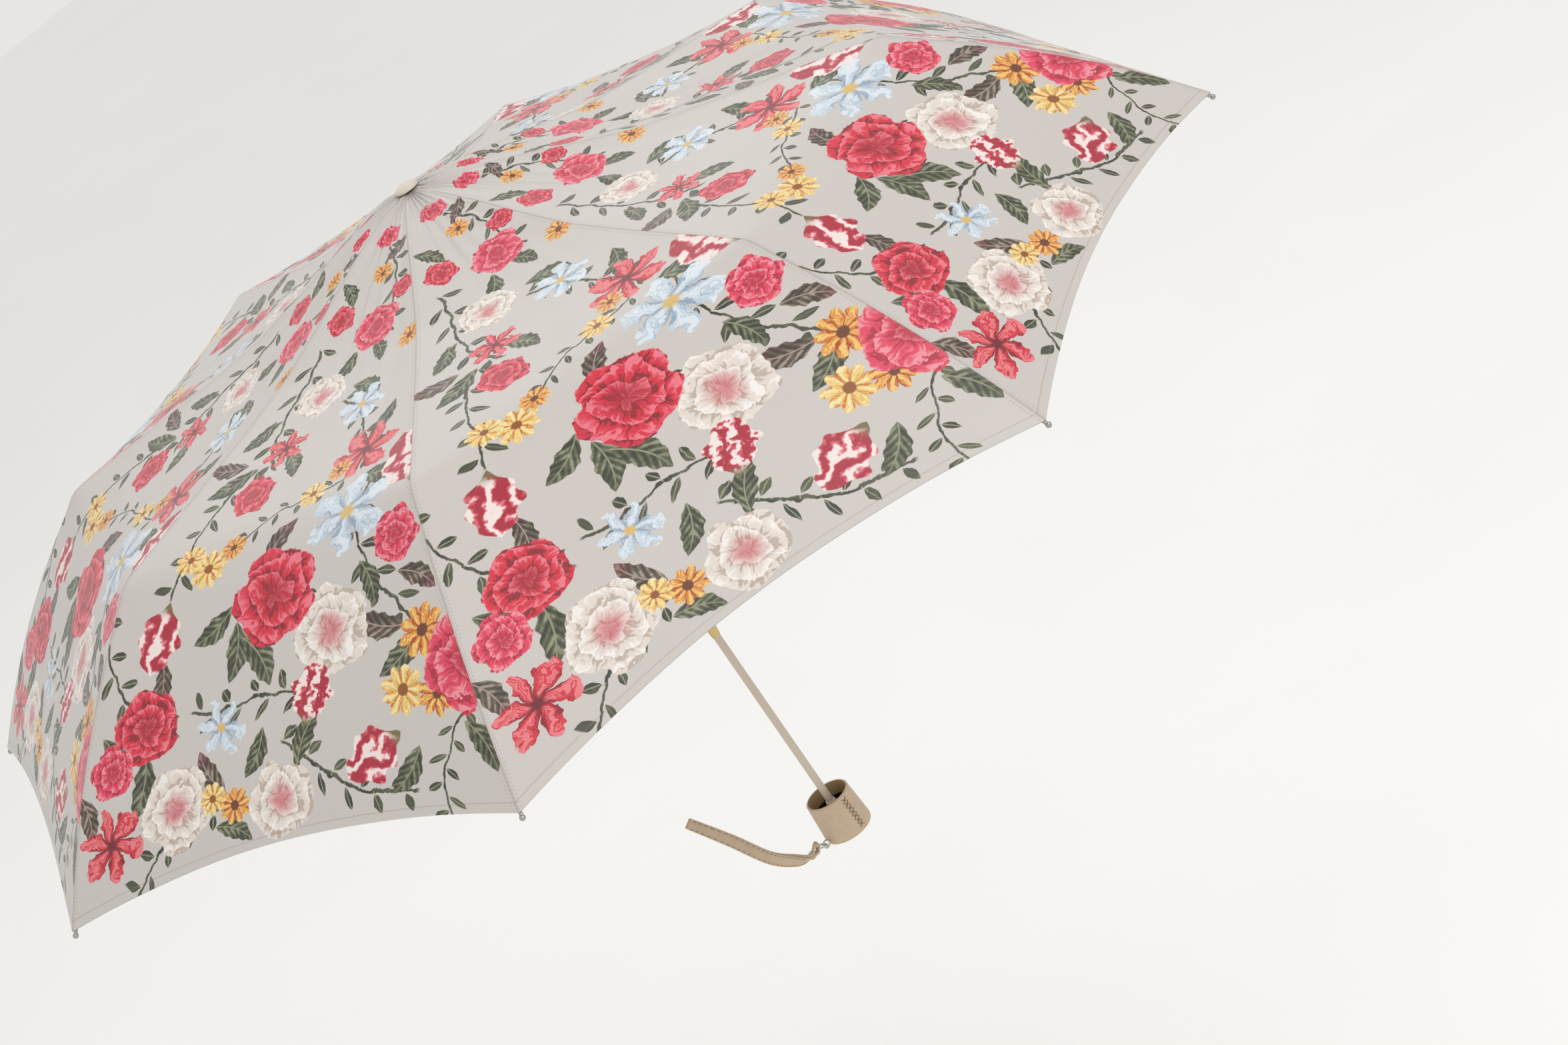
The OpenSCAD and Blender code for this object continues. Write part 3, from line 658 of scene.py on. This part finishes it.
def tube_points(path, radius, sides=8, closed=False):
    """A round wire along path, with frames carried along it without twist."""
    count = len(path)
    frames, side = [], None
    for i in range(count):
        ahead = path[(i + 1) % count] if closed else path[min(i + 1, count - 1)]
        behind = path[i - 1] if (closed or i > 0) else path[0]
        tangent = (ahead - behind).normalized()
        if side is None:
            side = tangent.orthogonal().normalized()
        side = (side - side.dot(tangent) * tangent).normalized()
        frames.append((side, tangent.cross(side)))
    ring = [(radius * math.cos(2 * math.pi * k / sides), radius * math.sin(2 * math.pi * k / sides))
            for k in range(sides)]
    return sweep(path, frames, lambda i: ring, closed)


def gather(parts):
    """Several (points, faces) as one."""
    points, faces = [], []
    for own_points, own_faces in parts:
        offset = len(points)
        points += own_points
        faces += [tuple(offset + v for v in f) for f in own_faces]
    return points, faces


# ---------------------------------------------------------------- canopy
# The first four are the CAD fabric's own: its hem arch, sag, bow and height over the ribs
HEM_ARCH = 21 * MM
PANEL_SAG = 5 * MM
OUTER_BOW = 8 * MM
FABRIC_LIFT = 2.2 * MM
RIB_CORNER = 14 * MM
PANEL_CORNER = 60 * MM
INNER_LINE = [(5, -1), (28, -3.5), (66, -14), (107, -27.5), (152, -41), (200, -49.5),
              (250, -57), (300, -64.5), (322, -67.5)]
OUTER_STATIONS = [0.08, 0.2, 0.35, 0.5, 0.65, 0.8, 0.92, 0.99]


def rib_line():
    """The fabric's line over a rib, as in the CAD solid: (radius, height above the peak)."""
    line = [(r * MM, z * MM) for r, z in INNER_LINE]
    start = np.array([middle_end.x, middle_end.z - peak_z])
    chord = np.array([tip_centre.x, tip_centre.z - peak_z]) - start
    normal = np.array([-chord[1], chord[0]]) / np.linalg.norm(chord)
    for u in OUTER_STATIONS:
        line.append(tuple(start + u * chord + normal * (4 * OUTER_BOW * u * (1 - u) + FABRIC_LIFT)))
    return np.array(line)


def smoothed(line, window):
    """The line at 1 mm steps with its corners rounded over the window's length."""
    runs = np.concatenate([[0], np.cumsum(np.linalg.norm(np.diff(line, axis=0), axis=1))])
    fine = np.linspace(0, runs[-1], int(runs[-1] / MM) + 1)
    dense = np.stack([np.interp(fine, runs, line[:, k]) for k in range(2)], axis=1)
    half = max(1, int(window / MM / 2))
    kernel = np.ones(2 * half + 1) / (2 * half + 1)
    before = 2 * dense[0] - dense[half:0:-1]
    after = 2 * dense[-1] - dense[-2:-half - 2:-1]
    padded = np.concatenate([before, dense, after])
    return fine, np.stack([np.convolve(padded[:, k], kernel, "valid") for k in range(2)], axis=1)


line = rib_line()
fine_runs, rib_curve = smoothed(line, RIB_CORNER)
_, panel_curve = smoothed(line, PANEL_CORNER)
LINE_LENGTH = fine_runs[-1]
HALF_STEP_SINE = math.sin(RIB_STEP / 2)
HALF_STEP_COSINE = math.cos(RIB_STEP / 2)
# The pressed crease down a panel's middle, and the small pulls near the peak and beside the hem
CREASE_HEIGHT = 0.7 * MM
CREASE_WIDTH = 3 * MM
PEAK_PULL = 1.2 * MM
HEM_PULL = 1.0 * MM


def fabric_point(run, v):
    """A point of a panel whose middle lies along +X; v runs from -1 to 1 between its two ribs."""
    share = run / LINE_LENGTH
    middle = 1 - v * v
    run_here = run - middle * HEM_ARCH * share ** 4
    at_rib = np.stack([np.interp(run_here, fine_runs, rib_curve[:, k]) for k in range(2)])
    at_panel = np.stack([np.interp(run_here, fine_runs, panel_curve[:, k]) for k in range(2)])
    r, z = at_rib + (at_panel - at_rib) * middle
    z = z - PANEL_SAG * middle * np.sin(math.pi * share)
    across = v * r * HALF_STEP_SINE
    crease = CREASE_HEIGHT * np.exp(-(across / CREASE_WIDTH) ** 2)
    crease = crease * np.sin(math.pi * np.clip(share, 0, 1)) ** 0.5
    pull = PEAK_PULL * middle * np.sin(v * 21 + 9 * share) * np.exp(-share * 5)
    pull = pull + HEM_PULL * (1 - np.abs(v)) * np.sin(34 * share + 7 * v) * share * np.abs(v)
    return np.stack([r * HALF_STEP_COSINE, across, z + crease + pull + peak_z], axis=-1)


def fabric_normal(run, v):
    """The way up from the cloth, from small steps along and across it."""
    e = 1e-4
    along = fabric_point(run + e, v) - fabric_point(run - e, v)
    inward = np.where(v > 0, -1.0, 1.0)
    across = (fabric_point(run, v + e * inward) - fabric_point(run, v)) * inward[..., None]
    normal = np.cross(along, across)
    return normal / np.linalg.norm(normal, axis=-1, keepdims=True)


def run_at_radius(radius):
    return float(np.interp(radius, rib_curve[:, 0], fine_runs))


def radius_at_run(run):
    return np.interp(run, fine_runs, rib_curve[:, 0])


# Each part's name, the rib that carries it, where it starts and ends on the rib line, and the
# rib's two ends
main_run, middle_run = run_at_radius(main_end.x), run_at_radius(middle_end.x)
PARTS = [
    ("inner", "main_rib", 0.0, main_run, (crown_pivot, main_end)),
    ("middle", "middle_rib", main_run, middle_run, (main_end, middle_end)),
    ("outer", "outer_rib", middle_run, LINE_LENGTH, (middle_end, tip_centre)),
]
ROW_STEP = 6 * MM
# Rows at the turned hem's inner edge, back from the hem
HEM_ROWS = (6.5 * MM, 6.0 * MM, 0)
HEM_START = 6.2 * MM
HEM_FADE = 0.4 * MM
# Half thickness of the cloth, and what the turned hem adds to it
CLOTH_HALF = 0.15 * MM
HEM_HALF = 0.2 * MM
# Columns from the rib to the panel's middle, closer beside the seam
COLUMNS = np.concatenate([[0, 0.012, 0.03], np.linspace(0.08, 1, 13)])


def turn_about_z(points, angle):
    c, s = math.cos(angle), math.sin(angle)
    return points @ np.array([[c, s, 0], [-s, c, 0], [0, 0, 1]])


def cloth_faces(count_r, count_c, side):
    """Top, low and rim faces of a two-layer grid of points, facing outward."""
    total = count_r * count_c
    top_faces, low_faces, rim_faces = [], [], []

    def vertex(layer, i, j):
        return layer * total + i * count_c + j

    for i in range(count_r - 1):
        for j in range(count_c - 1):
            quad = [(i, j), (i + 1, j), (i + 1, j + 1), (i, j + 1)][::side]
            top_faces.append(tuple(vertex(0, a, b) for a, b in quad))
            low_faces.append(tuple(vertex(1, a, b) for a, b in quad[::-1]))
    border = ([(i, 0) for i in range(count_r)] + [(count_r - 1, j) for j in range(1, count_c)]
              + [(i, count_c - 1) for i in range(count_r - 2, -1, -1)]
              + [(0, j) for j in range(count_c - 2, 0, -1)])
    for (a, b), (c, d) in zip(border, border[1:] + border[:1]):
        rim = (vertex(0, a, b), vertex(1, a, b), vertex(1, c, d), vertex(0, c, d))
        rim_faces.append(rim[::side])
    return top_faces, low_faces, rim_faces


def canopy_piece(number, side, part):
    """One part of a half panel: from a rib to the panel's middle, between two of the rib's joints."""
    label, carrier, run_a, run_b, (joint_a, joint_b) = part
    rib_angle = -RIB_STEP * (number - 1)
    panel_angle = rib_angle + side * RIB_STEP / 2
    rows = np.linspace(run_a, run_b, max(2, int((run_b - run_a) / ROW_STEP)) + 1)
    if label == "outer":
        rows = np.concatenate([rows[:-1], [run_b - back for back in HEM_ROWS]])
        rows = np.unique(np.round(rows, 6))
    run, share = np.meshgrid(rows, COLUMNS, indexing="ij")
    v = -side * (1 - share)
    middle_surface = fabric_point(run, v)
    normal = fabric_normal(run, v)
    hem = np.clip((run - (LINE_LENGTH - HEM_START)) / HEM_FADE, 0, 1)
    half_t = (CLOTH_HALF + HEM_HALF * hem)[..., None]
    top = turn_about_z((middle_surface + normal * half_t).reshape(-1, 3), panel_angle)
    low = turn_about_z((middle_surface - normal * half_t).reshape(-1, 3), panel_angle)
    normals = turn_about_z(normal.reshape(-1, 3), panel_angle)
    count_r, count_c = run.shape
    top_faces, low_faces, rim_faces = cloth_faces(count_r, count_c, side)
    name = f"canopy_{label}_{number}_{'left' if side > 0 else 'right'}"
    faces = top_faces + low_faces + rim_faces
    piece = new_piece(name, np.concatenate([top, low]), faces, FABRICS[label, side])
    mesh = piece.data
    kinds = np.zeros(len(faces), np.int32)
    kinds[len(top_faces):len(top_faces) + len(low_faces)] = 1
    mesh.polygons.foreach_set("material_index", kinds)
    flat_x = np.tile((v * radius_at_run(run) * HALF_STEP_SINE).reshape(-1), 2)
    flat_y = np.tile(run.reshape(-1), 2)
    uv = mesh.uv_layers.new(name="flat")
    loops = np.empty(len(mesh.loops), np.int32)
    mesh.loops.foreach_get("vertex_index", loops)
    flat = np.stack([flat_x[loops], flat_y[loops]], axis=1)
    uv.data.foreach_set("uv", flat.astype(np.float32).ravel())
    marks = mesh.attributes.new("marks", "FLOAT_VECTOR", "POINT")
    beside_rib = (1 - np.abs(v)) * radius_at_run(run) * HALF_STEP_SINE
    values = np.stack([beside_rib, LINE_LENGTH - run, run], axis=-1).reshape(-1, 3)
    marks.data.foreach_set("vector", np.tile(values, (2, 1)).astype(np.float32).ravel())
    both_ways = np.concatenate([normals, -normals])
    mesh.normals_split_custom_set_from_vertices([tuple(n) for n in both_ways])
    spine = Matrix.Rotation(rib_angle, 3, "Z") @ (joint_b - joint_a).normalized()
    points = top.reshape(count_r, count_c, 3)
    here = Vector(points[count_r // 2, 0])
    reach = Vector(points[count_r // 2, -1]) - here
    squash_axis = (reach - reach.dot(spine) * spine).normalized()
    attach(piece, f"{carrier}_{number}")
    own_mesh(piece)
    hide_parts("canopy")


for number in range(1, RIB_COUNT + 1):
    for side in (1, -1):
        for part in PARTS:
            canopy_piece(number, side, part)


# ---------------------------------------------------------------- handle
# The leather tapers from this height up, over its height less the rounded rims
TAPER_START = 2.3 * MM
RIM_HEIGHTS = 3.1 * MM
STITCH_AZIMUTH = math.radians(-89)
STITCH_CROSSINGS = 7
STITCH_PITCH = 3.7 * MM
STITCH_HALF_W = 2.3 * MM
STITCH_START = 3.6 * MM
STITCH_SUNK = 0.25 * MM
HANDLE_THREAD_R = 0.32 * MM


def cover_radius(z):
    """The leather's outer radius at a height."""
    taper = handle_mouth_r - handle_end_r
    return handle_end_r + taper * (z - TAPER_START) / (handle_top - RIM_HEIGHTS)


def seam_stitches():
    """A row of crossed stitches down the handle's leather, over the butted seam."""
    def on_cover(across, z, lift):
        r = cover_radius(z) + lift
        angle = STITCH_AZIMUTH + across / r
        return Vector((r * math.cos(angle), r * math.sin(angle), z))

    parts = []
    for i in range(STITCH_CROSSINGS):
        low = STITCH_START + i * STITCH_PITCH
        for lean in (1, -1):
            # The second thread of each crossing lies under the first
            rise = 1.6 if lean > 0 else 1.1
            path = []
            for t in np.linspace(0, 1, 9):
                lift = HANDLE_THREAD_R * (0.2 + rise * math.sin(math.pi * t)) - STITCH_SUNK
                across = lean * STITCH_HALF_W * (2 * t - 1)
                path.append(on_cover(across, low + STITCH_PITCH * t, lift))
            parts.append(tube_points(path, HANDLE_THREAD_R))
    points, faces = gather(parts)
    piece = new_piece("handle_seam_stitches", points, faces, [thread])
    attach(piece, "handle")


seam_stitches()


# ---------------------------------------------------------------- rings and strap
RING_TILT = math.radians(25)
RING_OFFSET = 5.0 * MM
RING_RADIUS = 4.6 * MM
RING_WIRE_R = 0.40 * MM
RING_TURNS = 2.6
RING_HALF_HEIGHT = 0.78 * MM
STEPS_A_TURN = 48


def split_ring():
    """A little over two and a half turns of wire, wound side by side."""
    out = Vector((-math.cos(RING_TILT), 0, math.sin(RING_TILT)))
    across = Vector((0, 1, 0))
    normal = out.cross(across)
    centre = eye_centre + out * RING_OFFSET
    path = []
    for i in range(int(RING_TURNS * STEPS_A_TURN) + 1):
        angle = 2 * math.pi * i / STEPS_A_TURN
        lift = (i / STEPS_A_TURN / RING_TURNS - 0.5) * 2 * RING_HALF_HEIGHT
        around = math.cos(angle) * out + math.sin(angle) * across
        path.append(centre + RING_RADIUS * around + lift * normal)
    points, faces = tube_points(path, RING_WIRE_R)
    piece = new_piece("split_ring_wire", points, faces, [bright])
    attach(piece, "split_ring")
    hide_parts("split_ring")


split_ring()

# The folded strap's middle line from its hinge, its direction across, and its width, all in mm
STRAP_ROUTE = [(-3.2, 0, -1.4), (-8, 3, -2), (-15, 9, 1), (-25, 20, 12), (-34, 36, 35), (-45, 54, 60)]
STRAP_ACROSS = [(0, 1, 0), (-0.3, 0.9, -0.3), (-0.6, 0.7, -0.5), (-0.75, 0.4, -0.5),
                (-0.8, 0.25, -0.5), (-0.82, 0.2, -0.52)]
STRAP_WIDTH = [4.6, 7, 9, 9, 9, 8]
STRAP_LAST = len(STRAP_ROUTE) - 1
LAYER_OFFSET = 1.05 * MM
BAND_T = 1.9 * MM
BAND_CORNER = 0.45 * MM
STRAP_START = 0.12
STRAP_STATIONS = 46
RING_LOOP_R = 2.75 * MM
LOOP_STEP = math.radians(24)
SEW_START = 1.35
SEW_PITCH = 0.135
SEW_LENGTH = 0.085
SEW_IN = 1.2 * MM
STRAP_THREAD_R = 0.22 * MM


def spline(values, place):
    """Catmull-Rom through values at place, from 0 to len(values) - 1, as the CAD strap has it."""
    last = len(values) - 1
    n = min(int(place), last - 1)
    t = place - n
    p0, p1, p2, p3 = (np.array(values[max(0, min(last, k))], float) for k in (n - 1, n, n + 1, n + 2))
    return 0.5 * (2 * p1 + (p2 - p0) * t + (2 * p0 - 5 * p1 + 4 * p2 - p3) * t ** 2
                  + (3 * p1 - p0 - 3 * p2 + p3) * t ** 3)


def strap_frame(place):
    """Middle point, direction across and direction of the face of the folded strap."""
    point = Vector(spline(STRAP_ROUTE, place)) * MM + strap_hinge
    a, b = max(0, place - 0.01), min(STRAP_LAST, place + 0.01)
    ahead = Vector(spline(STRAP_ROUTE, b) - spline(STRAP_ROUTE, a)).normalized()
    side = Vector(spline(STRAP_ACROSS, place))
    side = (side - side.dot(ahead) * ahead).normalized()
    return point, side, ahead.cross(side).normalized()


def strap_pieces():
    """One leather band: round the ring, along the strap, back round its far fold, sewn at its edges."""
    places = np.linspace(STRAP_START, STRAP_LAST, STRAP_STATIONS)
    path, frames, widths = [], [], []

    def add(point, side, face, width):
        path.append(point)
        frames.append((side, face))
        widths.append(width * MM)

    for place in places:
        point, side, face = strap_frame(place)
        add(point + face * LAYER_OFFSET, side, face, float(spline(STRAP_WIDTH, place)))
    end, side, face = strap_frame(STRAP_LAST)
    ahead = face.cross(side).normalized() * -1
    if ahead.dot(end - strap_frame(STRAP_LAST - 0.1)[0]) < 0:
        ahead = -ahead
    for k in range(1, 6):
        angle = math.pi * k / 6
        out = face * math.cos(angle) + ahead * math.sin(angle)
        add(end + out * LAYER_OFFSET, side, out, STRAP_WIDTH[-1])
    for place in places[::-1]:
        point, side, face = strap_frame(place)
        add(point - face * LAYER_OFFSET, side, -face, float(spline(STRAP_WIDTH, place)))
    first, side, face = strap_frame(0)
    away = (strap_hinge - first).normalized()
    for k in range(-5, 6):
        angle = math.pi + k * LOOP_STEP
        out = -(face * math.sin(angle)) + away * -math.cos(angle)
        add(strap_hinge + out * RING_LOOP_R, side, out, STRAP_WIDTH[0])

    def section(i):
        half_w, half_t, r = widths[i] / 2, BAND_T / 2, BAND_CORNER
        corners = [(half_w - r, half_t - r, 0), (-half_w + r, half_t - r, 90),
                   (-half_w + r, -half_t + r, 180), (half_w - r, -half_t + r, 270)]
        return [(x + r * math.cos(math.radians(a + d)), y + r * math.sin(math.radians(a + d)))
                for x, y, a in corners for d in (0, 30, 60, 90)]

    points, faces = sweep(path, frames, section, closed=True)
    band = new_piece("wrist_strap_band", points, faces, [leather])
    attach(band, "strap")
    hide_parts("wrist_strap")

    stitches = []
    for edge in (1, -1):
        for face_side in (1, -1):
            for place in np.arange(SEW_START, STRAP_LAST - 0.05, SEW_PITCH):
                half_w = float(spline(STRAP_WIDTH, place)) / 2 * MM - SEW_IN
                stitch = []
                for t in (-0.5, -0.3, 0, 0.3, 0.5):
                    point, side, face = strap_frame(place + t * SEW_LENGTH)
                    lift = LAYER_OFFSET + BAND_T / 2 + (0.12 - 1.2 * t * t) * MM
                    stitch.append(point + side * edge * half_w + face * face_side * lift)
                stitches.append(tube_points(stitch, STRAP_THREAD_R, sides=6))
    points, faces = gather(stitches)
    sewn = new_piece("wrist_strap_stitches", points, faces, [thread])
    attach(sewn, "strap")


strap_pieces()


# ---------------------------------------------------------------- floor and light
FLOOR_REACH = 9.0
FLOOR_Z = -0.75
WORLD_STRENGTH = 0.80
LIGHT_AIM = Vector((0, 0, 0.3))
# Each light's azimuth and elevation in degrees, distance, side and watts
LIGHTS = {"key": (-75, 48, 3.2, 2.2, 40), "fill": (-160, 25, 3.6, 2.6, 10), "rim": (60, 40, 3.4, 2.0, 12)}


def make_stage():
    """A pale floor under the umbrella and an even white sky."""
    corners = [(x * FLOOR_REACH, y * FLOOR_REACH, FLOOR_Z) for x, y in ((-1, -1), (1, -1), (1, 1), (-1, 1))]
    piece = new_piece("floor", corners, [(0, 1, 2, 3)], [], smooth=False)
    material, graph, shader, place = new_material("floor")
    shade = graph.mix(graph.noise(place, 3.0), colour(250, 249, 247), colour(246, 245, 243))
    graph.put(shader.inputs["Base Color"], shade)
    shader.inputs["Roughness"].default_value = 0.9
    piece.data.materials.append(material)
    world = bpy.data.worlds.new("studio")
    world.use_nodes = True
    background = next(n for n in world.node_tree.nodes if n.type == "BACKGROUND")
    background.inputs["Color"].default_value = (1.0, 0.99, 0.98, 1)
    background.inputs["Strength"].default_value = WORLD_STRENGTH
    scene.world = world


def make_light(name, azimuth, elevation, distance, size, power):
    """A square soft light that faces the umbrella."""
    data = bpy.data.lights.new(name, "AREA")
    data.shape = "SQUARE"
    data.size = size
    data.energy = power
    lamp = bpy.data.objects.new(name, data)
    a, e = math.radians(azimuth), math.radians(elevation)
    out = Vector((math.cos(e) * math.cos(a), math.cos(e) * math.sin(a), math.sin(e)))
    turn = out.to_track_quat("Z", "Y").to_matrix().to_4x4()
    lamp.matrix_world = Matrix.Translation(out * distance + LIGHT_AIM) @ turn
    scene.collection.objects.link(lamp)


make_stage()
for name, light in LIGHTS.items():
    make_light(name, *light)
scene.view_settings.view_transform = "Standard"
scene.view_settings.look = "None"
